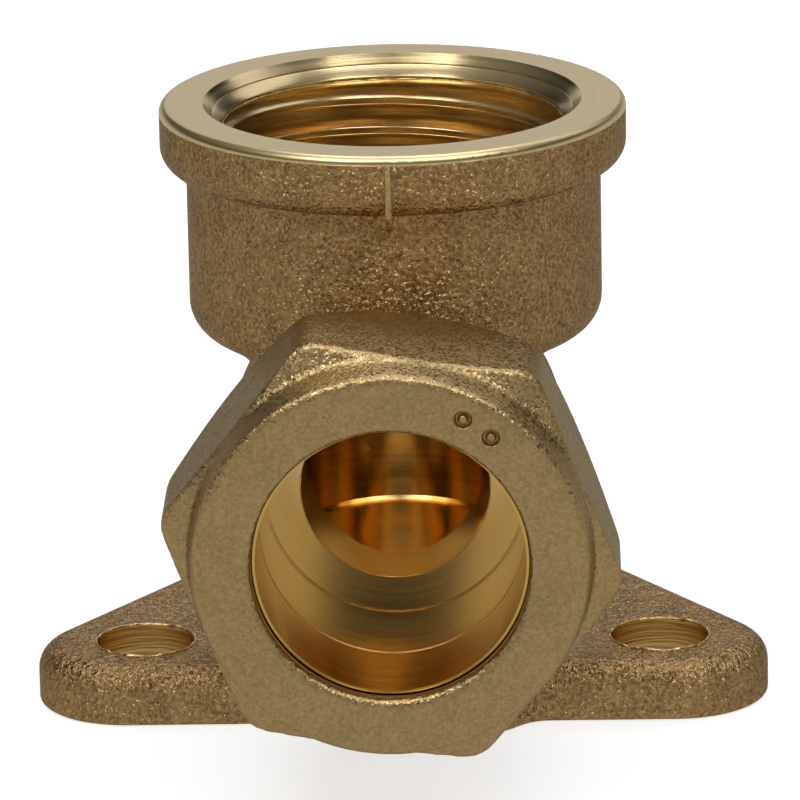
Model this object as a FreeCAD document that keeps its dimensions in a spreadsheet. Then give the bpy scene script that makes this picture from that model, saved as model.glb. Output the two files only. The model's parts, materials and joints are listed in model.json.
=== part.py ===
import FreeCAD, Part
import os

import Sketcher

# Wall plate elbow in brass: a compression joint for 15 mm tube that turns into a half-inch pipe socket.
# The origin is where the socket's axis meets the wall face. +Z runs out of the wall along the socket,
# and the compression port points along -Y. Lengths are in millimetres and slopes in degrees.

SIZES = {
    # Three-cornered wall plate with a round foot under the socket
    "plate_thickness": 3.5,
    "ear_span": 32.3,
    "rear_ear_reach": 24.0,
    "ear_radius": 5.5,
    "screw_hole": 5.9,
    "screw_inset": 0.9,
    "pedestal_width": 12.4,
    "foot_margin": 3.3,
    "foot_corner_round": 2.0,
    "plate_round": 1.5,
    "plate_under_round": 0.4,
    "pedestal_round": 1.2,
    # Upright socket with a collar round its mouth
    "socket_height": 36.5,
    "socket_thread": 20.955,
    "barrel_wall": 1.57,
    "barrel_lift": 6.75,
    "barrel_round": 2.0,
    "collar_step": 1.5,
    "collar_depth": 3.7,
    "collar_round": 1.3,
    "lip_round": 0.5,
    # Bores of the socket, with its thread left at the root diameter
    "mouth_step": 0.52,
    "mouth_bevel": 0.52,
    "floor_wall": 2.2,
    "floor_cone": 0.5,
    "drop_bore": 11.2,
    "drop_floor_depth": 5.65,
    "drop_corner": 0.2,
    "drop_pilot": 6.3,
    "drop_point": 0.12,
    # Compression port, with its thread left at the core diameter. Arm and spigot reach past the barrel,
    # and the tube's stop and the cone are measured in from the spigot's end
    "port_height": 16.05,
    "tube_bore": 15.1,
    "spigot_wall": 1.55,
    "spigot_reach": 6.25,
    "cone_depth": 1.1,
    "tube_stop": 8.3,
    "water_bore": 10.94,
    "arm_step": 0.7,
    "arm_reach": 0.55,
    "blend_round": 1.2,
    # Compression ring between the spigot's cone and the nut's cone
    "olive_wall": 1.3,
    "olive_length": 6.42,
    "olive_edge": 0.15,
    "seat_clearance": 0.1,
    # Hexagon nut with a round raised face
    "thread_height": 0.92,
    "thread_clearance": 0.03,
    "nut_side_wall": 1.4,
    "nut_corner_round": 1.8,
    "nut_length": 11.6,
    "nut_gap": 0.5,
    "nut_bore_clearance": 0.2,
    "nut_bore_round": 0.4,
    "nut_front_wall": 1.0,
    "nut_rear_bevel": 0.5,
    "nut_rear_slope": 30.0,
    "nut_shoulder_slope": 70.0,
    "face_step": 0.45,
    "face_draft": 0.35,
    "face_rise": 2.2,
    "face_round": 0.4,
    "nut_turn": 8.6,
}

# Sizes that several features share, worked out from the sheet
FOOT_WIDTH = "(dims.pedestal_width + 2 * dims.foot_margin)"
BARREL_WIDTH = "(dims.socket_thread + 2 * dims.barrel_wall)"
COLLAR_WIDTH = f"({BARREL_WIDTH} + 2 * dims.collar_step)"
COLLAR_FOOT = "(dims.socket_height - dims.collar_depth)"
BARREL_FOOT = "(dims.port_height + dims.barrel_lift)"
SOCKET_FLOOR = f"({BARREL_FOOT} + dims.floor_wall)"
DROP_FLOOR = "(dims.port_height - dims.drop_floor_depth)"
SPIGOT_CORE = "(dims.tube_bore + 2 * dims.spigot_wall)"
ARM_WIDTH = f"({SPIGOT_CORE} + 2 * dims.arm_step)"
ARM_END = f"({BARREL_WIDTH} / 2 + dims.arm_reach)"
UNDER_ARM = f"(dims.port_height - {ARM_WIDTH} / 2 - dims.plate_thickness)"
NUT_THREAD = f"({SPIGOT_CORE} + 2 * dims.thread_height + 2 * dims.thread_clearance)"
NUT_FLATS = f"({NUT_THREAD} + 2 * dims.nut_side_wall)"
NUT_BORE = "(dims.tube_bore + 2 * dims.nut_bore_clearance)"
FACE_WIDTH = f"({NUT_FLATS} - 2 * dims.face_step)"
FACE_BASE_WIDTH = f"({FACE_WIDTH} + 2 * dims.face_draft)"
SHOULDER = "(dims.nut_length - dims.face_rise)"

# The ring's tapers and both cones slope at 45 degrees, so one clearance measured square to a cone
# moves the ring and the nut along the port by the same amount. The spigot reaches far enough for the
# nut to stay clear of the barrel
CONE_GAP = "(sqrt(2) * dims.seat_clearance)"
RING_SEAT = f"(dims.olive_edge + {CONE_GAP} - dims.cone_depth)"
NUT_SEAT = f"({RING_SEAT} + dims.olive_length + dims.olive_edge + {CONE_GAP} - dims.nut_bore_clearance)"
NUT_FACE = f"({NUT_SEAT} + dims.nut_front_wall)"
NUT_ROOM = f"(dims.nut_gap + dims.nut_length - {NUT_FACE})"
SPIGOT_END = f"({BARREL_WIDTH} / 2 + max(dims.spigot_reach; {NUT_ROOM}))"
OLIVE_REAR = f"({SPIGOT_END} + {RING_SEAT})"
NUT_REAR = f"({SPIGOT_END} + {NUT_FACE} - dims.nut_length)"

# Length by which a cutting profile runs past the solid
PAST = "1"
# Share of the ball's width at the barrel's foot that the core inside it takes up
CORE_SHARE = "0.85"
# Share of a step that the fillet on it may use, and of the gap under the arm that each of its fillets may use
STEP_SHARE = "0.9"
GAP_SHARE = "0.45"
# Tolerance for finding an edge by its place
NEAR = 1e-4
# A sketch's own numbers for the ends and the centre of a line, an arc or a circle
START, END, CENTRE = range(1, 4)

doc = FreeCAD.newDocument("wall_plate_elbow")
sheet = doc.addObject("Spreadsheet::Sheet", "dims")
for row, (alias, value) in enumerate(SIZES.items(), start=1):
    sheet.set(f"A{row}", alias)
    sheet.set(f"B{row}", str(value))
    sheet.setAlias(f"B{row}", alias)
doc.recompute()


def size(expression):
    """Work out a sheet expression as a plain number."""
    return float(sheet.evalExpression(expression))


def new_body(label):
    """Start one physical piece under the name of its file."""
    body = doc.addObject("PartDesign::Body", label)
    body.Label = label
    return body


def plane_of(body, role):
    """Find one of the body's own origin planes."""
    return next(item for item in body.Origin.OriginFeatures if item.Role == role)


def sketch_on(body, name, role, lift=None):
    """Attach a sketch to an origin plane, lifted along the sketch's upright axis."""
    sketch = body.newObject("Sketcher::SketchObject", name)
    sketch.AttachmentSupport = [(plane_of(body, role), "")]
    sketch.MapMode = "FlatFace"
    if lift:
        sketch.setExpression("AttachmentOffset.Base.y", lift)
    return sketch


def constrain(sketch, kind, expression, *where):
    """Add one dimension to a sketch and bind it to the sheet."""
    index = sketch.addConstraint(Sketcher.Constraint(kind, *where, size(expression)))
    sketch.setExpression(f"Constraints[{index}]", expression)


def place_point(sketch, geometry, end, across, up):
    """Fix a point by its two coordinates. None puts the point on that axis."""
    level_axis, upright_axis = -1, -2
    if across is None:
        sketch.addConstraint(Sketcher.Constraint("PointOnObject", geometry, end, upright_axis))
    else:
        constrain(sketch, "DistanceX", across, geometry, end)
    if up is None:
        sketch.addConstraint(Sketcher.Constraint("PointOnObject", geometry, end, level_axis))
    else:
        constrain(sketch, "DistanceY", up, geometry, end)


def closed_profile(sketch, *corners):
    """Join corners by straight lines. Each corner is a pair of sheet expressions."""
    points = [FreeCAD.Vector(*(size(value) if value else 0 for value in corner)) for corner in corners]
    for here, there in zip(points, points[1:] + points[:1]):
        sketch.addGeometry(Part.LineSegment(here, there))
    for line in range(len(corners)):
        following = (line + 1) % len(corners)
        sketch.addConstraint(Sketcher.Constraint("Coincident", line, END, following, START))
    for line, corner in enumerate(corners):
        place_point(sketch, line, START, *corner)


def circle_at(sketch, across, up, diameter):
    """Draw a circle by its centre and diameter."""
    where = FreeCAD.Vector(*(size(value) if value else 0 for value in (across, up)))
    circle = Part.Circle(where, FreeCAD.Vector(0, 0, 1), size(diameter) / 2)
    index = sketch.addGeometry(circle)
    place_point(sketch, index, CENTRE, across, up)
    constrain(sketch, "Diameter", diameter, index)


def turned(body, kind, name, sketch, axis):
    """Sweep a sketch a full turn round one of its own axes, as a Revolution or a Groove."""
    feature = body.newObject(f"PartDesign::{kind}", name)
    feature.Profile = sketch
    feature.ReferenceAxis = (sketch, [axis])
    feature.Angle = 360
    doc.recompute()
    return feature


def padded(body, name, sketch, length):
    """Raise a sketch into a solid along its own normal."""
    feature = body.newObject("PartDesign::Pad", name)
    feature.Profile = sketch
    feature.setExpression("Length", length)
    doc.recompute()
    return feature


def rounded(body, name, base, radius, wanted):
    """Fillet the edges of the base feature that a test picks out."""
    edges = [f"Edge{number}" for number, edge in enumerate(base.Shape.Edges, start=1) if wanted(edge)]
    feature = body.newObject("PartDesign::Fillet", name)
    feature.Base = (base, edges)
    feature.setExpression("Radius", radius)
    doc.recompute()
    return feature


def upright(edge):
    """Test for an edge that runs straight up."""
    box = edge.BoundBox
    return box.XLength < NEAR and box.YLength < NEAR


def level_at(height):
    """Make a test for an edge that lies level at a height."""
    def test(edge):
        box = edge.BoundBox
        return abs(box.ZMin - height) < NEAR and abs(box.ZMax - height) < NEAR
    return test


def ring_at(diameter, height):
    """Make a test for a level round edge about the Z axis."""
    def test(edge):
        if not level_at(height)(edge) or not isinstance(edge.Curve, Part.Circle):
            return False
        off_axis = FreeCAD.Vector(edge.Curve.Center.x, edge.Curve.Center.y, 0).Length
        return off_axis < NEAR and abs(edge.Curve.Radius - diameter / 2) < NEAR
    return test


# Forged and machined body
elbow = new_body("elbow_body")



def draw_plate(sketch):
    """Draw the plate's outline: three equal corner arcs joined by three tangent straight edges."""
    right_ear, rear_ear, left_ear, front_edge, right_edge, left_edge = range(6)
    radius = size("dims.ear_radius")
    right = FreeCAD.Vector(size("dims.ear_span / 2"), 0, 0)
    rear = FreeCAD.Vector(0, size("dims.rear_ear_reach"), 0)
    forward = FreeCAD.Vector(0, -radius, 0)
    outward = FreeCAD.Vector(rear.y, right.x, 0).normalize() * radius
    outward_left = FreeCAD.Vector(-outward.x, outward.y, 0)
    ears = (
        (right, forward, FreeCAD.Vector(radius, 0, 0), outward),
        (rear, outward, FreeCAD.Vector(0, radius, 0), outward_left),
        (-right, outward_left, FreeCAD.Vector(-radius, 0, 0), forward),
    )
    for middle, *spokes in ears:
        sketch.addGeometry(Part.Arc(*(middle + spoke for spoke in spokes)))
    sketch.addGeometry(Part.LineSegment(forward - right, forward + right))
    sketch.addGeometry(Part.LineSegment(right + outward, rear + outward))
    sketch.addGeometry(Part.LineSegment(rear + outward_left, outward_left - right))
    around = (front_edge, right_ear, right_edge, rear_ear, left_edge, left_ear)
    for here, there in zip(around, around[1:] + around[:1]):
        sketch.addConstraint(Sketcher.Constraint("Tangent", here, END, there, START))
    place_point(sketch, right_ear, CENTRE, "dims.ear_span / 2", None)
    place_point(sketch, rear_ear, CENTRE, None, "dims.rear_ear_reach")
    place_point(sketch, left_ear, CENTRE, "-dims.ear_span / 2", None)
    constrain(sketch, "Radius", "dims.ear_radius", right_ear)
    for ear in (rear_ear, left_ear):
        sketch.addConstraint(Sketcher.Constraint("Equal", right_ear, ear))


outline = sketch_on(elbow, "plate_outline", "XY_Plane")
draw_plate(outline)
padded(elbow, "plate", outline, "dims.plate_thickness")

# A round foot under the socket stands a little proud of the plate's front edge
foot_outline = sketch_on(elbow, "foot_outline", "XY_Plane")
circle_at(foot_outline, None, None, FOOT_WIDTH)
plate = padded(elbow, "foot", foot_outline, "dims.plate_thickness")


def foot_corner(edge):
    """Test for an upright edge where the round foot leaves the plate's front edge."""
    corner = edge.BoundBox.Center
    on_front = abs(corner.y + size("dims.ear_radius")) < NEAR
    on_foot = abs(FreeCAD.Vector(corner.x, corner.y, 0).Length - size(FOOT_WIDTH) / 2) < NEAR
    return upright(edge) and on_front and on_foot


plate = rounded(elbow, "foot_corners", plate, "dims.foot_corner_round", foot_corner)
plate = rounded(elbow, "plate_top_edge", plate, "dims.plate_round", level_at(size("dims.plate_thickness")))
plate = rounded(elbow, "plate_under_edge", plate, "dims.plate_under_round", level_at(0))

# Pedestal, barrel and collar are one outline turned about the socket's axis, with a core between
# pedestal and barrel that stays inside the elbow's ball
CORE_RADIUS = f"({CORE_SHARE} * sqrt(({ARM_WIDTH} / 2) ^ 2 - dims.barrel_lift ^ 2))"
column_outline = sketch_on(elbow, "column_outline", "XZ_Plane")
closed_profile(
    column_outline,
    (None, None),
    ("dims.pedestal_width / 2", None),
    ("dims.pedestal_width / 2", "dims.port_height"),
    (CORE_RADIUS, "dims.port_height"),
    (CORE_RADIUS, BARREL_FOOT),
    (f"{BARREL_WIDTH} / 2", BARREL_FOOT),
    (f"{BARREL_WIDTH} / 2", COLLAR_FOOT),
    (f"{COLLAR_WIDTH} / 2", COLLAR_FOOT),
    (f"{COLLAR_WIDTH} / 2", "dims.socket_height"),
    (None, "dims.socket_height"),
)
column = turned(elbow, "Revolution", "column", column_outline, "V_Axis")
column = rounded(elbow, "collar_lip", column, "dims.lip_round",
                 ring_at(size(COLLAR_WIDTH), size("dims.socket_height")))
column = rounded(elbow, "collar_underside", column,
                 f"min(dims.collar_round; {STEP_SHARE} * dims.collar_step)",
                 ring_at(size(COLLAR_WIDTH), size(COLLAR_FOOT)))
column = rounded(elbow, "barrel_underside", column, "dims.barrel_round",
                 ring_at(size(BARREL_WIDTH), size(BARREL_FOOT)))
column = rounded(elbow, "pedestal_foot", column, f"min(dims.pedestal_round; {GAP_SHARE} * {UNDER_ARM})",
                 ring_at(size("dims.pedestal_width"), size("dims.plate_thickness")))

# The port's arm runs forward from a ball that rounds off the back of the elbow
ball = elbow.newObject("PartDesign::AdditiveSphere", "ball")
ball.AttachmentSupport = [(plane_of(elbow, "XY_Plane"), "")]
ball.MapMode = "FlatFace"
ball.setExpression("AttachmentOffset.Base.z", "dims.port_height")
ball.setExpression("Radius", f"{ARM_WIDTH} / 2")
doc.recompute()
arm_outline = sketch_on(elbow, "arm_outline", "XZ_Plane")
circle_at(arm_outline, None, "dims.port_height", ARM_WIDTH)
arm = padded(elbow, "arm", arm_outline, ARM_END)


def belongs_to_arm(face):
    """Test for the ball's face or the arm's side."""
    if isinstance(face.Surface, Part.Sphere):
        return True
    return isinstance(face.Surface, Part.Cylinder) and abs(face.Surface.Axis.y) > 1 - NEAR


def arm_root(edge):
    """Test for an edge where the arm or the ball grows out of the pedestal or the barrel."""
    faces = arm.Shape.ancestorsOfType(edge, Part.Face)
    at_end = abs(edge.BoundBox.YMax + size(ARM_END)) < NEAR
    return len(faces) == 2 and not at_end and belongs_to_arm(faces[0]) != belongs_to_arm(faces[1])


rounded(elbow, "arm_root", arm, f"min(dims.blend_round; {GAP_SHARE} * {UNDER_ARM})", arm_root)
spigot_outline = sketch_on(elbow, "spigot_outline", "XZ_Plane")
circle_at(spigot_outline, None, "dims.port_height", SPIGOT_CORE)
padded(elbow, "spigot", spigot_outline, SPIGOT_END)

# Pipe socket: bevelled mouth, thread, nearly flat floor, and the bore that drops to the port, which
# ends in a flat floor with the drill's pilot in its middle
socket_outline = sketch_on(elbow, "socket_outline", "XZ_Plane")
closed_profile(
    socket_outline,
    (None, f"dims.socket_height + {PAST}"),
    ("dims.socket_thread / 2 + dims.mouth_step", f"dims.socket_height + {PAST}"),
    ("dims.socket_thread / 2 + dims.mouth_step", "dims.socket_height"),
    ("dims.socket_thread / 2", "dims.socket_height - dims.mouth_bevel"),
    ("dims.socket_thread / 2", SOCKET_FLOOR),
    ("dims.drop_bore / 2", f"{SOCKET_FLOOR} - dims.floor_cone"),
    ("dims.drop_bore / 2", f"{DROP_FLOOR} + dims.drop_corner"),
    ("dims.drop_bore / 2 - dims.drop_corner", DROP_FLOOR),
    ("dims.drop_pilot / 2", DROP_FLOOR),
    (None, f"{DROP_FLOOR} - dims.drop_point"),
)
turned(elbow, "Groove", "socket", socket_outline, "V_Axis")

# Tube socket: cone for the ring, tube bore, stop shoulder, and the water bore that opens into the drop
port_outline = sketch_on(elbow, "port_outline", "YZ_Plane", "dims.port_height")
closed_profile(
    port_outline,
    (f"-{SPIGOT_END} - {PAST}", None),
    (f"-{SPIGOT_END} - {PAST}", "dims.tube_bore / 2 + dims.cone_depth"),
    (f"-{SPIGOT_END}", "dims.tube_bore / 2 + dims.cone_depth"),
    (f"dims.cone_depth - {SPIGOT_END}", "dims.tube_bore / 2"),
    (f"dims.tube_stop - {SPIGOT_END}", "dims.tube_bore / 2"),
    (f"dims.tube_stop - {SPIGOT_END}", "dims.water_bore / 2"),
    (None, "dims.water_bore / 2"),
    (None, None),
)
bored = turned(elbow, "Groove", "port", port_outline, "H_Axis")

# One screw hole in each ear, set in from the ear's centre towards the socket
screw_outline = sketch_on(elbow, "screw_outline", "XY_Plane")
circle_at(screw_outline, "dims.ear_span / 2 - dims.screw_inset", None, "dims.screw_hole")
circle_at(screw_outline, "dims.screw_inset - dims.ear_span / 2", None, "dims.screw_hole")
circle_at(screw_outline, None, "dims.rear_ear_reach - dims.screw_inset", "dims.screw_hole")
screw_holes = elbow.newObject("PartDesign::Pocket", "screw_holes")
screw_holes.Profile = screw_outline
screw_holes.Reversed = True
screw_holes.setExpression("Length", "dims.plate_thickness")
doc.recompute()

# Compression nut, modelled from its rear face forward along its own Z axis, with the hexagon turned
# a little so that its upper flat leans to the right
nut = new_body("compression_nut")
hexagon = sketch_on(nut, "hexagon", "XY_Plane")
hexagon.setExpression("AttachmentOffset.Rotation.Angle", "-dims.nut_turn * 1 deg")
CORNER = f"{NUT_FLATS} / sqrt(3)"
closed_profile(
    hexagon,
    (CORNER, None),
    (f"{CORNER} / 2", f"{NUT_FLATS} / 2"),
    (f"-{CORNER} / 2", f"{NUT_FLATS} / 2"),
    (f"-{CORNER}", None),
    (f"-{CORNER} / 2", f"-{NUT_FLATS} / 2"),
    (f"{CORNER} / 2", f"-{NUT_FLATS} / 2"),
)
blank = padded(nut, "blank", hexagon, SHOULDER)
rounded(nut, "corners", blank, "dims.nut_corner_round", upright)

# Turned cones take the corners off at the rear face and slope the shoulder round the raised face
CLEAR = f"({CORNER} + {PAST})"
rear_cone = sketch_on(nut, "rear_cone", "XZ_Plane")
closed_profile(
    rear_cone,
    (f"{FACE_BASE_WIDTH} / 2", None),
    (CLEAR, None),
    (CLEAR, f"({CLEAR} - {FACE_BASE_WIDTH} / 2) / tan(dims.nut_rear_slope * 1 deg)"),
)
turned(nut, "Groove", "rear_chamfer", rear_cone, "V_Axis")
shoulder_cone = sketch_on(nut, "shoulder_cone", "XZ_Plane")
closed_profile(
    shoulder_cone,
    (f"{FACE_BASE_WIDTH} / 2", SHOULDER),
    (CLEAR, SHOULDER),
    (CLEAR, f"{SHOULDER} - ({CLEAR} - {FACE_BASE_WIDTH} / 2) / tan(dims.nut_shoulder_slope * 1 deg)"),
)
turned(nut, "Groove", "shoulder", shoulder_cone, "V_Axis")
face_outline = sketch_on(nut, "face_outline", "XZ_Plane")
closed_profile(
    face_outline,
    (None, SHOULDER),
    (f"{FACE_BASE_WIDTH} / 2", SHOULDER),
    (f"{FACE_WIDTH} / 2", "dims.nut_length"),
    (None, "dims.nut_length"),
)
face = turned(nut, "Revolution", "raised_face", face_outline, "V_Axis")
rounded(nut, "face_rim", face, "dims.face_round", ring_at(size(FACE_WIDTH), size("dims.nut_length")))

# Inside, the tube's hole opens by a cone into the thread's root
INNER_CONE_FRONT = "(dims.nut_length - dims.nut_front_wall)"
nut_bore = sketch_on(nut, "nut_bore", "XZ_Plane")
closed_profile(
    nut_bore,
    (None, f"dims.nut_length + {PAST}"),
    (f"{NUT_BORE} / 2", f"dims.nut_length + {PAST}"),
    (f"{NUT_BORE} / 2", INNER_CONE_FRONT),
    (f"{NUT_THREAD} / 2", f"{INNER_CONE_FRONT} - ({NUT_THREAD} - {NUT_BORE}) / 2"),
    (f"{NUT_THREAD} / 2", "dims.nut_rear_bevel"),
    (f"{NUT_THREAD} / 2 + dims.nut_rear_bevel", None),
    (f"{NUT_THREAD} / 2 + dims.nut_rear_bevel", f"-{PAST}"),
    (None, f"-{PAST}"),
)
hollow = turned(nut, "Groove", "hollow", nut_bore, "V_Axis")
rounded(nut, "bore_rim", hollow, "dims.nut_bore_round", ring_at(size(NUT_BORE), size("dims.nut_length")))

# Compression ring, modelled from its rear end forward along its own Z axis
olive = new_body("olive")
OLIVE_OUTSIDE = "(dims.tube_bore / 2 + dims.olive_wall)"
TAPER = "(dims.olive_wall - dims.olive_edge)"
ring_outline = sketch_on(olive, "ring_outline", "XZ_Plane")
closed_profile(
    ring_outline,
    ("dims.tube_bore / 2", None),
    ("dims.tube_bore / 2 + dims.olive_edge", None),
    (OLIVE_OUTSIDE, TAPER),
    (OLIVE_OUTSIDE, f"dims.olive_length - {TAPER}"),
    ("dims.tube_bore / 2 + dims.olive_edge", "dims.olive_length"),
    ("dims.tube_bore / 2", "dims.olive_length"),
)
turned(olive, "Revolution", "ring", ring_outline, "V_Axis")

# Nut and ring lie on the port's axis with their own Z axes pointing forward
for piece, rear in ((nut, NUT_REAR), (olive, OLIVE_REAR)):
    piece.Placement.Rotation = FreeCAD.Rotation(FreeCAD.Vector(1, 0, 0), 90)
    piece.setExpression("Placement.Base.y", f"-{rear}")
    piece.setExpression("Placement.Base.z", "dims.port_height")
doc.recompute()

pieces = (elbow, nut, olive)
for item in doc.Objects:
    if "Invalid" in item.State or "Error" in item.State:
        raise RuntimeError(f"{item.Label} did not build")
for piece in pieces:
    if piece.Shape.isNull() or not piece.Shape.isValid():
        raise RuntimeError(f"{piece.Label} has no valid solid")
if screw_holes.Shape.Volume >= bored.Shape.Volume:
    raise RuntimeError("the screw holes cut nothing")

os.makedirs("parts", exist_ok=True)
for piece in pieces:
    piece.Shape.exportStep(f"parts/{piece.Label}.step")
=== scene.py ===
import json
import math

import bmesh
import bpy
from mathutils import Euler, Matrix, Vector


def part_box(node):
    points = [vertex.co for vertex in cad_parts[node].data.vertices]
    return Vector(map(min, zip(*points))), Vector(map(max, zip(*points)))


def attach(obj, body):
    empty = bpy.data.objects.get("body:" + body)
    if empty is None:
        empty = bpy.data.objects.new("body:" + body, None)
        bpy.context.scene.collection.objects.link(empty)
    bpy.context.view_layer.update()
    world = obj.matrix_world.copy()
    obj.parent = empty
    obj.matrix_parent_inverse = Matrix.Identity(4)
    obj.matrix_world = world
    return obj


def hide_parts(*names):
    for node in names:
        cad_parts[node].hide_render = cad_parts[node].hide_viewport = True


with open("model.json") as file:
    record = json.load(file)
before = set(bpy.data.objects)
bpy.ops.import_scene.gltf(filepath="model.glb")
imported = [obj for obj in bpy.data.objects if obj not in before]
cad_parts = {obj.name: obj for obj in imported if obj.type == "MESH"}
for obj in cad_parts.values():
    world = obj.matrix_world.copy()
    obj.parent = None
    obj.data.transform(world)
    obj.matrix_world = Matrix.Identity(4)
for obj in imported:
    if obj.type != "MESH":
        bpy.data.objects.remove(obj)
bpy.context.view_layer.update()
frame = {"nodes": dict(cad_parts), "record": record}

# Elbow body
# One hot brass forging: wall plate, foot, elbow and pipe socket in a single piece. It is shot-blasted
# all over, and then the socket, the port and the screw holes are turned and drilled bright.

MM = 0.001
mounts = {mount["name"]: mount for mount in frame["record"]["mounts"]}
PORT_HEIGHT = mounts["tube_entry"]["pos_m"][2]
TUBE_RADIUS = mounts["tube_entry"]["dims"]["r_mm"] * MM
SOCKET_ROOT = mounts["socket_thread"]["dims"]["r_mm"] * MM
SOCKET_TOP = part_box("elbow_body")[1].z
SPIGOT_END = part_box("elbow_body")[0].y
SCREW_RADIUS = mounts["rear_screw"]["dims"]["r_mm"] * MM
SCREW_SPACING = mounts["front_screws"]["dims"]["spacing_x_mm"] * MM
SCREW_PLACES = (
    Vector((-SCREW_SPACING / 2, 0)),
    Vector((SCREW_SPACING / 2, 0)),
    Vector(mounts["rear_screw"]["pos_m"][:2]),
)
PLATE_THICKNESS = mounts["rear_screw"]["dims"]["length_mm"] * MM
DROP_RADIUS = 5.6 * MM
DROP_FLOOR = 10.7 * MM
SOCKET_FLOOR = 24.45 * MM
SOCKET_MOUTH = 11.05 * MM
LIP_FOOT = SOCKET_TOP - 0.5 * MM
ARM_END = -12.55 * MM
ARM_RADIUS = 9.85 * MM
FIT = 0.06 * MM
MERGE = 1e-7
SHARP_ANGLE = math.radians(28)


def add(tree, kind, inputs=None, **settings):
    """Add one node with its settings, and link or fill its inputs by name or number."""
    item = tree.nodes.new(kind)
    for name, value in settings.items():
        setattr(item, name, value)
    for key, value in (inputs or {}).items():
        if isinstance(value, bpy.types.NodeSocket):
            tree.links.new(value, item.inputs[key])
        else:
            item.inputs[key].default_value = value
    return item


def new_group(name, inputs, outputs):
    """Start a shader node group with the given sockets."""
    tree = bpy.data.node_groups.new(name, "ShaderNodeTree")
    for way, sockets in (("INPUT", inputs), ("OUTPUT", outputs)):
        for socket, kind in sockets.items():
            tree.interface.new_socket(socket, in_out=way, socket_type=f"NodeSocket{kind}")
    entry = add(tree, "NodeGroupInput")
    exit_node = add(tree, "NodeGroupOutput")
    return tree, entry.outputs, exit_node


def math_node(tree, operation, *values):
    """Add a math node and return its result."""
    return add(tree, "ShaderNodeMath", dict(enumerate(values)), operation=operation).outputs[0]


def blasted_grain_group():
    """Grain of a blasted forging: fine dimples, small leaning facets and slow changes of tone."""
    tree, given, result = new_group(
        "blasted_grain",
        {"Position": "Vector", "Grain Size": "Float"},
        {"Dimples": "Float", "Facets": "Float", "Lean": "Vector", "Tone": "Float", "Swell": "Float"},
    )
    per_grain = math_node(tree, "DIVIDE", 1.0, given["Grain Size"])
    scaled = add(tree, "ShaderNodeVectorMath", {0: given["Position"], "Scale": per_grain},
                 operation="SCALE")
    place = scaled.outputs[0]
    dimples = add(tree, "ShaderNodeTexNoise",
                  {"Vector": place, "Scale": 0.7, "Detail": 2.0, "Roughness": 0.55})
    moved = add(tree, "ShaderNodeVectorMath", {0: place, 1: dimples.outputs["Color"]}, operation="ADD")
    cells = add(tree, "ShaderNodeTexVoronoi", {"Vector": moved.outputs[0], "Scale": 1.2})
    lean = add(tree, "ShaderNodeVectorMath", {0: cells.outputs["Color"], 1: (0.5, 0.5, 0.5)},
               operation="SUBTRACT")
    facets = add(tree, "ShaderNodeSeparateColor", {0: cells.outputs["Color"]}).outputs[1]
    tone = add(tree, "ShaderNodeTexNoise",
               {"Vector": place, "Scale": 0.08, "Detail": 4.0, "Roughness": 0.65})
    swell = add(tree, "ShaderNodeTexNoise", {"Vector": place, "Scale": 0.08, "Detail": 3.0})
    for name, value in (
        ("Dimples", dimples.outputs["Fac"]),
        ("Facets", facets),
        ("Lean", lean.outputs[0]),
        ("Tone", tone.outputs["Fac"]),
        ("Swell", swell.outputs["Fac"]),
    ):
        tree.links.new(value, result.inputs[name])
    return tree


def turned_marks_group():
    """Tool marks of a lathe or drill: fine rings round the Z axis, on walls and on faces alike."""
    tree, given, result = new_group(
        "turned_marks",
        {"Position": "Vector", "Mark Spacing": "Float"},
        {"Marks": "Float", "Streaks": "Float"},
    )
    apart = add(tree, "ShaderNodeSeparateXYZ", {0: given["Position"]}).outputs
    flat = add(tree, "ShaderNodeCombineXYZ", {0: apart[0], 1: apart[1]}).outputs[0]
    radius = add(tree, "ShaderNodeVectorMath", {0: flat}, operation="LENGTH").outputs["Value"]
    heading = add(tree, "ShaderNodeVectorMath", {0: flat}, operation="NORMALIZE").outputs[0]
    heading = add(tree, "ShaderNodeSeparateXYZ", {0: heading}).outputs
    across = math_node(tree, "DIVIDE", radius, given["Mark Spacing"])
    along = math_node(tree, "DIVIDE", apart[2], given["Mark Spacing"])
    wander = 0.6
    drift = math_node(tree, "MULTIPLY", heading[0], wander)
    place = add(tree, "ShaderNodeCombineXYZ", {0: across, 1: along, 2: drift}).outputs[0]
    turn = math_node(tree, "MULTIPLY", heading[1], wander)
    for name, scale, detail in (("Marks", 1.0, 2.0), ("Streaks", 0.25, 4.0)):
        rings = add(tree, "ShaderNodeTexNoise",
                    {"Vector": place, "W": turn, "Scale": scale, "Detail": detail, "Roughness": 0.6},
                    noise_dimensions="4D")
        tree.links.new(rings.outputs["Fac"], result.inputs[name])
    return tree


blasted_grain = blasted_grain_group()
turned_marks = turned_marks_group()


def new_material(name):
    """Start a material, and return it with its tree, shader and Object coordinates."""
    material = bpy.data.materials.new(name)
    material.use_nodes = True
    tree = material.node_tree
    shader = tree.nodes["Principled BSDF"]
    position = add(tree, "ShaderNodeTexCoord").outputs["Object"]
    return material, tree, shader, position


EDGE_TINT = (0.55, 0.55, 0.55, 1)
TONE_SHARE = 0.4
# Share of the facets in the skin's colour: a painted glint that makes the smoother cells paler.
FACET_GLINT_SHARE = 0.15


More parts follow.
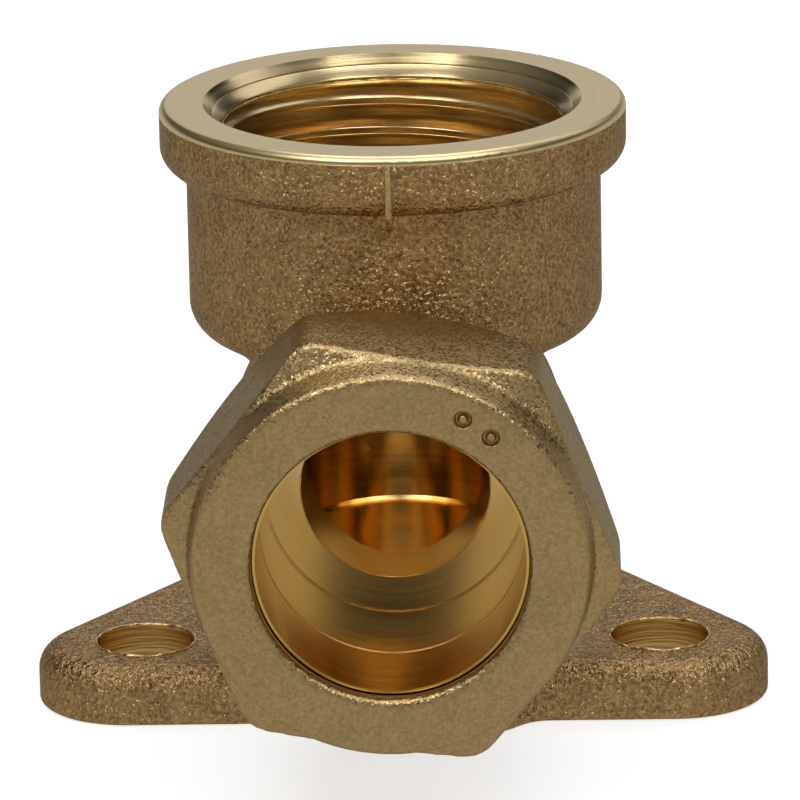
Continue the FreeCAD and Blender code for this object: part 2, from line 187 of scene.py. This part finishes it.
def forged_brass(name, grain, depth, lean, swell_depth, dark, light, smooth, dull):
    """Blasted brass: a brown skin of fine dimples and tiny leaning facets. Its colour has a random tone,
    with painted shade in the pits, painted light where the grain is raised, and painted glints on the
    paler, smoother facets.
    """
    material, tree, shader, position = new_material(name)
    skin = add(tree, "ShaderNodeGroup", node_tree=blasted_grain)
    tree.links.new(position, skin.inputs["Position"])
    skin.inputs["Grain Size"].default_value = grain
    # Painted shade and light: the colour darkens in the dimples' pits and pales on their rises, over the
    # random tone, and the facets add a painted glint.
    raised = math_node(tree, "MULTIPLY_ADD", skin.outputs["Tone"], TONE_SHARE, skin.outputs["Dimples"])
    tone_shade_and_glint = math_node(tree, "MULTIPLY_ADD", skin.outputs["Facets"], FACET_GLINT_SHARE, raised)
    shade = add(tree, "ShaderNodeMapRange", {"Value": tone_shade_and_glint, "From Min": 0.55, "From Max": 1.0})
    colour = add(tree, "ShaderNodeMix", {"Factor": shade.outputs[0], 6: (*dark, 1), 7: (*light, 1)},
                 data_type="RGBA")
    tree.links.new(colour.outputs[2], shader.inputs["Base Color"])
    roughness = add(tree, "ShaderNodeMapRange",
                    {"Value": skin.outputs["Facets"], "From Min": 0.6, "From Max": 0.8,
                     "To Min": dull, "To Max": smooth})
    tree.links.new(roughness.outputs[0], shader.inputs["Roughness"])
    broad = add(tree, "ShaderNodeBump",
                {"Height": skin.outputs["Swell"], "Strength": 1.0, "Distance": swell_depth})
    fine = add(tree, "ShaderNodeBump",
               {"Height": skin.outputs["Dimples"], "Strength": 1.0, "Distance": depth,
                "Normal": broad.outputs[0]})
    tilt = add(tree, "ShaderNodeVectorMath", {0: skin.outputs["Lean"], "Scale": lean}, operation="SCALE")
    leaning = add(tree, "ShaderNodeVectorMath", {0: fine.outputs[0], 1: tilt.outputs[0]},
                  operation="ADD")
    unit = add(tree, "ShaderNodeVectorMath", {0: leaning.outputs[0]}, operation="NORMALIZE")
    tree.links.new(unit.outputs[0], shader.inputs["Normal"])
    shader.inputs["Metallic"].default_value = 1.0
    shader.inputs["Specular Tint"].default_value = EDGE_TINT
    return material


PALE_STREAK = 1.08
DEEP_STREAK = 0.9


def turned_brass(name, spacing, depth, colour, smooth, dull, brushed,
                 axis_place=(0, 0, 0), axis_turn=(0, 0, 0)):
    """Bright brass cut on a lathe or drilled, with its tool marks round the given axis."""
    material, tree, shader, position = new_material(name)
    centred = add(tree, "ShaderNodeVectorMath", {0: position, 1: axis_place}, operation="SUBTRACT")
    aligned = add(tree, "ShaderNodeMapping", {"Vector": centred.outputs[0], "Rotation": axis_turn})
    cut = add(tree, "ShaderNodeGroup", node_tree=turned_marks)
    tree.links.new(aligned.outputs[0], cut.inputs["Position"])
    cut.inputs["Mark Spacing"].default_value = spacing
    pale = tuple(min(1.0, PALE_STREAK * channel) for channel in colour)
    deep = tuple(DEEP_STREAK * channel for channel in colour)
    tint = add(tree, "ShaderNodeMix", {"Factor": cut.outputs["Streaks"], 6: (*deep, 1), 7: (*pale, 1)},
               data_type="RGBA")
    tree.links.new(tint.outputs[2], shader.inputs["Base Color"])
    roughness = add(tree, "ShaderNodeMapRange",
                    {"Value": cut.outputs["Streaks"], "From Min": 0.3, "From Max": 0.7,
                     "To Min": smooth, "To Max": dull})
    tree.links.new(roughness.outputs[0], shader.inputs["Roughness"])
    marks = add(tree, "ShaderNodeBump",
                {"Height": cut.outputs["Marks"], "Strength": 1.0, "Distance": depth})
    tree.links.new(marks.outputs[0], shader.inputs["Normal"])
    axis = Euler(axis_turn).to_matrix().transposed() @ Vector((0, 0, 1))
    along_marks = add(tree, "ShaderNodeVectorMath", {0: centred.outputs[0], 1: axis},
                      operation="CROSS_PRODUCT")
    facing = add(tree, "ShaderNodeNewGeometry").outputs["Normal"]
    across_marks = add(tree, "ShaderNodeVectorMath", {0: facing, 1: along_marks.outputs[0]},
                       operation="CROSS_PRODUCT")
    tree.links.new(across_marks.outputs[0], shader.inputs["Tangent"])
    shader.inputs["Anisotropic"].default_value = brushed
    shader.inputs["Metallic"].default_value = 1.0
    return material


BRIGHT_BRASS = (0.84, 0.62, 0.27)
FACING_FORWARD = (math.radians(90), 0, 0)
body_skin = forged_brass("body_skin", grain=0.17 * MM, depth=0.19 * MM, lean=0.6, swell_depth=0.12 * MM,
                         dark=(0.29, 0.174, 0.073), light=(0.70, 0.455, 0.205), smooth=0.2, dull=0.44)
mouth_cut = turned_brass("mouth_cut", spacing=0.06 * MM, depth=0.004 * MM, colour=(0.86, 0.67, 0.345),
                         smooth=0.24, dull=0.4, brushed=0.0)
socket_cut = turned_brass("socket_cut", spacing=0.06 * MM, depth=0.003 * MM, colour=(0.89, 0.69, 0.36),
                          smooth=0.16, dull=0.28, brushed=0.5)
# Painted shade: the deep drilled bore gets a darker, redder brass than the socket above it, for the shade
# and bounced light inside it.
shaded_drop_cut = turned_brass("shaded_drop_cut", spacing=0.06 * MM, depth=0.003 * MM, colour=(0.84, 0.56, 0.20),
                        smooth=0.12, dull=0.24, brushed=0.5)
port_cut = turned_brass("port_cut", spacing=0.05 * MM, depth=0.002 * MM, colour=BRIGHT_BRASS,
                        smooth=0.13, dull=0.23, brushed=0.5, axis_place=(0, 0, PORT_HEIGHT),
                        axis_turn=FACING_FORWARD)
# Painted shade: the drilled screw holes get a darker, redder brass than the other cuts, for the shade
# inside them.
shaded_hole_cuts = [
    turned_brass(f"hole_cut_{index}", spacing=0.25 * MM, depth=0.06 * MM, colour=(0.68, 0.46, 0.18),
                 smooth=0.2, dull=0.35, brushed=0.4, axis_place=(*centre, 0))
    for index, centre in enumerate(SCREW_PLACES)
]
body_finishes = (body_skin, mouth_cut, socket_cut, shaded_drop_cut, port_cut, *shaded_hole_cuts)
SKIN, MOUTH_CUT, SOCKET_CUT, DROP_CUT, PORT_CUT, HOLE_CUT = range(6)
UPRIGHT = 0.3
LEVEL = 0.5


def body_finish(place, normal):
    """Tell which finish a face of the body has from where it lies and how it faces."""
    from_socket = place.xy.length
    from_port = Vector((place.x, place.z - PORT_HEIGHT)).length
    upright_wall = abs(normal.z) < UPRIGHT
    for index, centre in enumerate(SCREW_PLACES):
        on_hole = abs((place.xy - centre).length - SCREW_RADIUS) < FIT
        if on_hole and upright_wall and place.z < PLATE_THICKNESS:
            return HOLE_CUT + index
    if place.z > SOCKET_FLOOR and from_socket < SOCKET_MOUTH:
        return SOCKET_CUT
    if place.z > LIP_FOOT:
        return MOUTH_CUT
    if upright_wall and abs(from_socket - DROP_RADIUS) < FIT and place.z > PLATE_THICKNESS:
        return DROP_CUT
    if normal.z > LEVEL and from_socket < DROP_RADIUS and PLATE_THICKNESS < place.z < DROP_FLOOR:
        return DROP_CUT
    in_port = place.y < 0 and from_port < TUBE_RADIUS + FIT
    on_spigot = place.y < ARM_END and from_port < ARM_RADIUS
    if in_port or on_spigot:
        return PORT_CUT
    return SKIN


def put_in_scene(name, data):
    """Add an object with the given mesh, curve, light or camera to the scene."""
    item = bpy.data.objects.new(name, data)
    bpy.context.scene.collection.objects.link(item)
    return item


def finished_copy(node, name, materials, finish):
    """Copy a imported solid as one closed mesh, with a finish for each face and clean edges."""
    mesh = frame["nodes"][node].data.copy()
    mesh.name = name
    mesh.materials.clear()
    for material in materials:
        mesh.materials.append(material)
    shape = bmesh.new()
    shape.from_mesh(mesh)
    bmesh.ops.remove_doubles(shape, verts=shape.verts, dist=MERGE)
    for face in shape.faces:
        face.smooth = True
        face.material_index = finish(face.calc_center_median(), face.normal)
    for edge in shape.edges:
        edge.smooth = edge.calc_face_angle(0) < SHARP_ANGLE
    shape.to_mesh(mesh)
    shape.free()
    return put_in_scene(name, mesh)


def settle(piece):
    """Turn a piece and its modifiers into a plain mesh."""
    made = bpy.data.meshes.new_from_object(piece.evaluated_get(bpy.context.evaluated_depsgraph_get()))
    made.name = piece.name
    piece.modifiers.clear()
    piece.data = made


forged_body = finished_copy("elbow_body", "forged_body", body_finishes, body_finish)
evened = forged_body.modifiers.new("evened", "WEIGHTED_NORMAL")
evened.keep_sharp = True
settle(forged_body)
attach(forged_body, "body")
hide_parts("elbow_body")

# Threads of the socket and the spigot
# A half-inch pipe thread is cut inside the socket, with one plain ridge above it at the mouth, and a finer
# thread on the spigot takes the nut. Both threads are right-handed and run out to nothing at their ends.


def new_shape_tree(name, sizes):
    """Start a geometry node tree with the given sizes, a place, a turn and a material as inputs."""
    tree = bpy.data.node_groups.new(name, "GeometryNodeTree")
    for size, kind in {**sizes, "Place": "Vector", "Turn": "Rotation", "Material": "Material"}.items():
        tree.interface.new_socket(size, in_out="INPUT", socket_type=f"NodeSocket{kind}")
    tree.interface.new_socket("Geometry", in_out="OUTPUT", socket_type="NodeSocketGeometry")
    return tree, add(tree, "NodeGroupInput").outputs


def put_in_place(tree, shape, given):
    """End a tree: move and turn its shape into place, smooth it, realize it and give it its material."""
    placed = add(tree, "GeometryNodeTransform",
                 {"Geometry": shape, "Translation": given["Place"], "Rotation": given["Turn"]})
    smooth = add(tree, "GeometryNodeSetShadeSmooth", {"Geometry": placed.outputs[0]})
    whole = add(tree, "GeometryNodeRealizeInstances", {"Geometry": smooth.outputs[0]})
    coated = add(tree, "GeometryNodeSetMaterial",
                 {"Geometry": whole.outputs[0], "Material": given["Material"]})
    add(tree, "NodeGroupOutput", {"Geometry": coated.outputs[0]})


def helical_thread_tree():
    """Ridge that winds up the Z axis: the profile stands on the wall and can thin out at both ends."""
    tree, given = new_shape_tree(
        "helical_thread",
        {"Wall Radius": "Float", "Depth": "Float", "Sunk": "Float", "Pitch": "Float", "Turns": "Float",
         "Root Width": "Float", "Crest Width": "Float", "Crest Round": "Float", "End Share": "Float",
         "Steps": "Int"},
    )
    rise = math_node(tree, "MULTIPLY", given["Pitch"], given["Turns"])
    helix = add(tree, "GeometryNodeCurveSpiral",
                {"Resolution": given["Steps"], "Rotations": given["Turns"], "Height": rise,
                 "Start Radius": given["Wall Radius"], "End Radius": given["Wall Radius"],
                 "Reverse": True})
    upright = add(tree, "GeometryNodeSetCurveNormal", {"Curve": helix.outputs[0]}, mode="Z_UP")
    half_root = math_node(tree, "MULTIPLY", given["Root Width"], 0.5)
    half_crest = math_node(tree, "MULTIPLY", given["Crest Width"], 0.5)
    corners = []
    for side in (1, -1):
        foot = add(tree, "ShaderNodeCombineXYZ",
                   {0: given["Sunk"], 1: math_node(tree, "MULTIPLY", half_root, side)}).outputs[0]
        crest = add(tree, "ShaderNodeCombineXYZ",
                    {0: given["Depth"], 1: math_node(tree, "MULTIPLY", half_crest, side)}).outputs[0]
        corners.append((foot, crest))
    (foot_up, crest_up), (foot_down, crest_down) = corners
    section = add(tree, "GeometryNodeCurvePrimitiveQuadrilateral",
                  {"Point 1": foot_up, "Point 2": crest_up, "Point 3": crest_down, "Point 4": foot_down},
                  mode="POINTS")
    softened = add(tree, "GeometryNodeFilletCurve",
                   {"Curve": section.outputs[0], "Count": 3, "Radius": given["Crest Round"],
                    "Limit Radius": True}, mode="POLY")
    along = add(tree, "GeometryNodeSplineParameter").outputs["Factor"]
    from_start = math_node(tree, "MULTIPLY", along, given["Turns"])
    from_end = math_node(tree, "SUBTRACT", given["Turns"], from_start)
    nearest = math_node(tree, "MINIMUM", from_start, from_end)
    run_outs_per_turn = 4.0
    run_out = math_node(tree, "MINIMUM", math_node(tree, "MULTIPLY", nearest, run_outs_per_turn), 1.0)
    run_out = math_node(tree, "MAXIMUM", run_out, given["End Share"])
    ridge = add(tree, "GeometryNodeCurveToMesh",
                {"Curve": upright.outputs[0], "Profile Curve": softened.outputs[0], "Scale": run_out,
                 "Fill Caps": True})
    put_in_place(tree, ridge.outputs[0], given)
    return tree


helical_thread = helical_thread_tree()


def node_piece(name, tree, material, **sizes):
    """Make one piece as a plain mesh from a node tree's named inputs."""
    piece = put_in_scene(name, bpy.data.meshes.new(name))
    nodes = piece.modifiers.new("nodes", "NODES")
    nodes.node_group = tree
    named = {item.name: item.identifier for item in tree.interface.items_tree if item.in_out == "INPUT"}
    for size, value in sizes.items():
        nodes[named[size.replace("_", " ").title()]] = value
    nodes[named["Material"]] = material
    settle(piece)
    return piece


def thread_piece(name, material, **sizes):
    """Make one thread ridge, smooth along its length and crisp at the corners of its section."""
    ridge = node_piece(name, helical_thread, material, **sizes)
    ridge.data.set_sharp_from_angle(angle=SHARP_ANGLE)
    return ridge


PIPE_PITCH = 1.814 * MM
PIPE_DEPTH = 1.03 * MM
SUNK = 0.05 * MM
THREAD_STEPS = 96
FIRST_RIDGE = SOCKET_TOP - 3.01 * MM
RIDGES_BELOW = 4
MOUTH_RIDGE = SOCKET_TOP - 1.27 * MM
FACING_UP = (0, 0, 0)
pipe_turns = 4.9
socket_thread = thread_piece(
    "socket_thread", socket_cut, wall_radius=SOCKET_ROOT, depth=-PIPE_DEPTH, sunk=SUNK, pitch=PIPE_PITCH,
    turns=pipe_turns, root_width=1.5 * MM, crest_width=0.4 * MM, crest_round=0.08 * MM, end_share=0.0,
    steps=THREAD_STEPS, place=(0, 0, FIRST_RIDGE - RIDGES_BELOW * PIPE_PITCH), turn=FACING_UP,
)
mouth_ridge = thread_piece(
    "mouth_ridge", socket_cut, wall_radius=SOCKET_ROOT, depth=-0.63 * MM, sunk=SUNK, pitch=0.0,
    turns=1.0, root_width=1.5 * MM, crest_width=0.25 * MM, crest_round=0.05 * MM, end_share=1.0,
    steps=THREAD_STEPS, place=(0, 0, MOUTH_RIDGE), turn=FACING_UP,
)
for piece in (socket_thread, mouth_ridge):
    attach(piece, "body")

NUT_PITCH = 1.5 * MM
SPIGOT_CORE = 9.1 * MM
THREAD_SETBACK = 0.3 * MM
spigot_turns = 3.3
spigot_thread = thread_piece(
    "spigot_thread", port_cut, wall_radius=SPIGOT_CORE, depth=0.86 * MM, sunk=-SUNK, pitch=NUT_PITCH,
    turns=spigot_turns, root_width=1.2 * MM, crest_width=0.22 * MM, crest_round=0.06 * MM, end_share=0.0,
    steps=THREAD_STEPS,
    place=(0, SPIGOT_END + THREAD_SETBACK + spigot_turns * NUT_PITCH, PORT_HEIGHT), turn=FACING_FORWARD,
)
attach(spigot_thread, "body")

# Burrs and parting line
# Thin ragged edges that the tools leave where they break through the forging, and the low fin down the
# front of the socket where the two forging dies met.


def burr_tree():
    """Ragged wire of metal round an edge: a circle whose thickness wanders."""
    tree, given = new_shape_tree(
        "burr", {"Radius": "Float", "Thickness": "Float", "Raggedness": "Float", "Lump Size": "Float"})
    edge = add(tree, "GeometryNodeCurvePrimitiveCircle", {"Resolution": 240, "Radius": given["Radius"]})
    wire = add(tree, "GeometryNodeCurvePrimitiveCircle", {"Resolution": 6, "Radius": given["Thickness"]})
    lumps = math_node(tree, "DIVIDE", 1.0, given["Lump Size"])
    noise = add(tree, "ShaderNodeTexNoise", {"Scale": lumps, "Detail": 2.0})
    wander = add(tree, "ShaderNodeMapRange",
                 {"Value": noise.outputs["Fac"], "From Min": 0.35, "From Max": 0.65})
    thinning = math_node(tree, "MULTIPLY", given["Raggedness"], wander.outputs[0])
    share = math_node(tree, "SUBTRACT", 1.0, thinning)
    ring = add(tree, "GeometryNodeCurveToMesh",
               {"Curve": edge.outputs[0], "Profile Curve": wire.outputs[0], "Scale": share})
    put_in_place(tree, ring.outputs[0], given)
    return tree


burr = burr_tree()
WATER_RADIUS = 5.47 * MM
TUBE_STOP = -10.0 * MM
MOUTH_EDGE = 9.85 * MM
COLLAR_RADIUS = 13.5475 * MM
LIP_EDGE = COLLAR_RADIUS - 0.02 * MM
BARREL_RADIUS = 12.0475 * MM
MOUTH_EDGE_HEIGHT = SOCKET_TOP - 1.35 * MM
FINE_LUMPS = 0.4 * MM
COARSE_LUMPS = 1.4 * MM
stop_place = (0, TUBE_STOP, PORT_HEIGHT)
mouth_place = (0, 0, MOUTH_EDGE_HEIGHT)
lip_place = (0, 0, LIP_FOOT)
burrs = [
    ("water_burr", port_cut, WATER_RADIUS, 0.06 * MM, 0.8, FINE_LUMPS, stop_place, FACING_FORWARD),
    ("stop_corner", port_cut, TUBE_RADIUS, 0.09 * MM, 0.2, FINE_LUMPS, stop_place, FACING_FORWARD),
    ("mouth_burr", mouth_cut, MOUTH_EDGE, 0.08 * MM, 0.9, FINE_LUMPS, mouth_place, FACING_UP),
    ("lip_burr", mouth_cut, LIP_EDGE, 0.05 * MM, 1.0, FINE_LUMPS, lip_place, FACING_UP),
]
for index, centre in enumerate(SCREW_PLACES):
    rim_place = (*centre, PLATE_THICKNESS)
    burrs.append((f"hole_burr_{index}", shaded_hole_cuts[index], SCREW_RADIUS, 0.17 * MM, 1.0, COARSE_LUMPS,
                  rim_place, FACING_UP))
for name, material, radius, thickness, raggedness, lump_size, place, turn in burrs:
    ragged = node_piece(name, burr, material, radius=radius, thickness=thickness,
                        raggedness=raggedness, lump_size=lump_size, place=place, turn=turn)
    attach(ragged, "body")

FIN_HALF_WIDTH = 0.2 * MM
FIN_TIP_SHARE = 0.5
fin_path = bpy.data.curves.new("parting_fin", "CURVE")
fin_path.dimensions = "3D"
fin_path.bevel_depth = FIN_HALF_WIDTH
fin_path.bevel_resolution = 3
fin_path.use_fill_caps = True
fin_line = fin_path.splines.new("POLY")
FIN_POINTS = (
    (COLLAR_RADIUS - 0.05 * MM, LIP_FOOT),
    (COLLAR_RADIUS - 0.05 * MM, LIP_FOOT - 2.7 * MM),
    (COLLAR_RADIUS - 0.55 * MM, LIP_FOOT - 3.4 * MM),
    (BARREL_RADIUS - 0.1 * MM, LIP_FOOT - 4.3 * MM),
)
fin_line.points.add(len(FIN_POINTS) - 1)
for point, (out, height) in zip(fin_line.points, FIN_POINTS):
    point.co = (0, -out, height, 1)
fin_line.points[-1].radius = FIN_TIP_SHARE
fin_curve = put_in_scene("fin_curve", fin_path)
# Painted light: the fin's skin is a paler copy of the body's, which lifts the fin out of the shadow under
# the collar.
fin_painted_light_skin = forged_brass("fin_painted_light_skin", grain=0.17 * MM, depth=0.08 * MM, lean=0.3, swell_depth=0.05 * MM,
                        dark=(0.60, 0.43, 0.19), light=(0.85, 0.64, 0.32), smooth=0.25, dull=0.45)
fin_path.materials.append(fin_painted_light_skin)
fin_mesh = bpy.data.meshes.new_from_object(fin_curve.evaluated_get(bpy.context.evaluated_depsgraph_get()))
bpy.data.objects.remove(fin_curve)
parting_fin = put_in_scene("parting_fin", fin_mesh)
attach(parting_fin, "body")

# Compression ring
# A plain turned brass ring, tapered at both ends. It sits loose between the spigot's cone and the nut's,
# and the nut squeezes it onto the tube.

ring_cut = turned_brass("ring_cut", spacing=0.05 * MM, depth=0.002 * MM, colour=(0.82, 0.55, 0.17),
                        smooth=0.13, dull=0.23, brushed=0.5, axis_place=(0, 0, PORT_HEIGHT),
                        axis_turn=FACING_FORWARD)
frame["nodes"]["olive"].material_slots[0].material = ring_cut

# Compression nut
# A forged brass hexagon nut with a round raised face, screwed onto the spigot over the ring. Its skin is
# smoother and greyer than the body's, its edges are worn round, and its hole, cone and thread are turned.

NUT_REAR_RADIUS = 10.6 * MM
FACE_SKIN = 0.4 * MM
MARK_RADIUS = 0.36 * MM
MARK_GROOVE = 0.16 * MM
MARK_DEPTH = 0.4 * MM
MARK_SECTION = 10
MARK_STEPS = 32
NUT_FINENESS = 0.18 * MM
EDGE_EASING = 5
EASING_SHARE = 0.5
nut_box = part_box("compression_nut")
nut_skin = forged_brass("nut_skin", grain=0.16 * MM, depth=0.05 * MM, lean=0.25, swell_depth=0.1 * MM,
                        dark=(0.46, 0.32, 0.145), light=(0.62, 0.44, 0.207), smooth=0.28, dull=0.46)
nut_cut = turned_brass("nut_cut", spacing=0.05 * MM, depth=0.002 * MM, colour=BRIGHT_BRASS, smooth=0.18,
                       dull=0.32, brushed=0.5, axis_place=(0, 0, PORT_HEIGHT), axis_turn=FACING_FORWARD)


def nut_finish(place, normal):
    """Tell the nut's turned inside from its forged outside."""
    from_port = Vector((place.x, place.z - PORT_HEIGHT)).length
    outward = Vector((place.x, place.z - PORT_HEIGHT)).dot(Vector((normal.x, normal.z)))
    inside = from_port < NUT_REAR_RADIUS and outward < 0 and place.y > nut_box[0].y + FACE_SKIN
    return 1 if inside else 0


forged_nut = finished_copy("compression_nut", "forged_nut", (nut_skin, nut_cut), nut_finish)
worn = forged_nut.modifiers.new("worn", "REMESH")
worn.mode = "VOXEL"
worn.voxel_size = NUT_FINENESS
worn.use_smooth_shade = True
eased = forged_nut.modifiers.new("eased", "SMOOTH")
eased.factor = EASING_SHARE
eased.iterations = EDGE_EASING
settle(forged_nut)
NUT_MARKS = ((4.17 * MM, 8.53 * MM), (5.69 * MM, 7.47 * MM))
for across, up in NUT_MARKS:
    punch_mesh = bpy.data.meshes.new("punch")
    punch_shape = bmesh.new()
    quarter_turn = Matrix.Rotation(math.pi / 2, 4, "X")
    bmesh.ops.create_circle(punch_shape, segments=MARK_SECTION, radius=MARK_GROOVE,
                            matrix=Matrix.Translation((MARK_RADIUS, 0, 0)) @ quarter_turn)
    bmesh.ops.spin(punch_shape, geom=punch_shape.verts[:] + punch_shape.edges[:], cent=(0, 0, 0),
                   axis=(0, 0, 1), angle=2 * math.pi, steps=MARK_STEPS, use_merge=True)
    deepened = quarter_turn @ Matrix.Diagonal((1, 1, MARK_DEPTH / MARK_GROOVE, 1))
    on_face = Matrix.Translation((across, nut_box[0].y, PORT_HEIGHT + up)) @ deepened
    bmesh.ops.transform(punch_shape, verts=punch_shape.verts, space=Matrix(), matrix=on_face)
    bmesh.ops.recalc_face_normals(punch_shape, faces=punch_shape.faces)
    for face in punch_shape.faces:
        face.smooth = True
    punch_shape.to_mesh(punch_mesh)
    punch_shape.free()
    punch = put_in_scene("punch", punch_mesh)
    sunk_mark = forged_nut.modifiers.new("sunk_mark", "BOOLEAN")
    sunk_mark.object = punch
    sunk_mark.operation = "DIFFERENCE"
    sunk_mark.solver = "EXACT"
    settle(forged_nut)
    bpy.data.objects.remove(punch)
for face in forged_nut.data.polygons:
    face.material_index = nut_finish(face.center, face.normal)
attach(forged_nut, "nut")
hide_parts("compression_nut")

NUT_ROOT = 10.05 * MM
BETWEEN_RIDGES = 0.5
nut_turns = 5.0
nut_thread = thread_piece(
    "nut_thread", nut_cut, wall_radius=NUT_ROOT, depth=-0.85 * MM, sunk=SUNK, pitch=NUT_PITCH,
    turns=nut_turns, root_width=1.2 * MM, crest_width=0.22 * MM, crest_round=0.06 * MM, end_share=0.0,
    steps=THREAD_STEPS,
    place=(0, SPIGOT_END + THREAD_SETBACK + (spigot_turns + BETWEEN_RIDGES) * NUT_PITCH, PORT_HEIGHT),
    turn=FACING_FORWARD,
)
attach(nut_thread, "nut")

# Floor, light and camera
# A white light table that the part doesn't mirror. The room is bright up to just above the table's edge
# and dark at eye height, with two soft lights at the front and three behind.

FLOOR_SIZE = 6.0
floor_mesh = bpy.data.meshes.new("floor")
floor_shape = bmesh.new()
bmesh.ops.create_grid(floor_shape, x_segments=1, y_segments=1, size=FLOOR_SIZE / 2)
floor_shape.to_mesh(floor_mesh)
floor_shape.free()
floor = put_in_scene("floor", floor_mesh)
table_top, _, table_shader, _ = new_material("table_top")
table_shader.inputs["Base Color"].default_value = (0.6, 0.6, 0.6, 1)
table_shader.inputs["Roughness"].default_value = 0.8
table_shader.inputs["Specular IOR Level"].default_value = 0.0
table_shader.inputs["Emission Color"].default_value = (1, 1, 1, 1)
table_shader.inputs["Emission Strength"].default_value = 0.72
floor_mesh.materials.append(table_top)
floor.visible_glossy = False

scene = bpy.context.scene
scene.view_settings.view_transform = "Standard"
world = bpy.data.worlds.new("pale_room")
world.use_nodes = True
room = world.node_tree.nodes["Background"]
direction = add(world.node_tree, "ShaderNodeTexCoord").outputs["Generated"]
height_in_room = add(world.node_tree, "ShaderNodeSeparateXYZ", {0: direction}).outputs[2]
room_share = add(world.node_tree, "ShaderNodeMapRange", {"Value": height_in_room, "From Min": -1.0})
room_light = add(world.node_tree, "ShaderNodeValToRGB", {"Fac": room_share.outputs[0]})
TABLE_EDGE = 0.56
EYE_HEIGHT = 0.62
LAMP_FEET = 0.72
CEILING = 0.93
light_steps = room_light.color_ramp.elements
light_steps.remove(light_steps[1])
light_steps[0].position = TABLE_EDGE
light_steps[0].color = (0.50, 0.49, 0.46, 1)
for height, glow in ((EYE_HEIGHT, 0.01), (LAMP_FEET, 0.04), (CEILING, 0.18)):
    light_steps.new(height).color = (glow, glow, glow, 1)
world.node_tree.links.new(room_light.outputs[0], room.inputs["Color"])
scene.world = world

OBJECT_MIDDLE = Vector((0, 0, 0.018))
LIGHT_DISTANCE = 0.7
NEUTRAL = (1.0, 1.0, 1.0)
DAYLIGHT = (0.94, 0.97, 1.08)


def soft_light(name, turn, height, size, power, tint):
    """Hang a square soft light that faces the part, turned from the front and raised by degrees."""
    lamp = bpy.data.lights.new(name, "AREA")
    lamp.shape = "SQUARE"
    lamp.size = size
    lamp.energy = power
    lamp.color = tint
    light = put_in_scene(name, lamp)
    turned = Matrix.Rotation(math.radians(turn), 3, "Z")
    raised = Matrix.Rotation(-math.radians(height), 3, "X")
    light.location = OBJECT_MIDDLE + turned @ raised @ Vector((0, -LIGHT_DISTANCE, 0))
    light.rotation_euler = (OBJECT_MIDDLE - light.location).to_track_quat("-Z", "Y").to_euler()


for name, turn, height, size, power, tint in (
    ("key_left", -36, 56, 0.35, 1.5, NEUTRAL),
    ("key_right", 36, 56, 0.35, 1.3, NEUTRAL),
    ("above_behind", 180, 66, 0.35, 1.0, DAYLIGHT),
    ("behind_right", 135, 45, 0.35, 0.3, DAYLIGHT),
    ("behind", 180, 28, 0.4, 0.25, DAYLIGHT),
):
    soft_light(name, turn, height, size, power, tint)

CAMERA_PLACE = (9.54 * MM, -385.0 * MM, 134.50 * MM)
CAMERA_YAW = math.radians(-1.402)
CAMERA_PITCH = math.radians(16.801)
CAMERA_ROLL = math.radians(-1.132)
lens = bpy.data.cameras.new("camera")
lens.sensor_width = 36.0
lens.lens = 308.26
camera = put_in_scene("camera", lens)
camera.matrix_world = (
    Matrix.Translation(CAMERA_PLACE)
    @ Matrix.Rotation(-CAMERA_YAW, 4, "Z")
    @ Matrix.Rotation(math.pi / 2 - CAMERA_PITCH, 4, "X")
    @ Matrix.Rotation(CAMERA_ROLL, 4, "Z")
)
scene.camera = camera
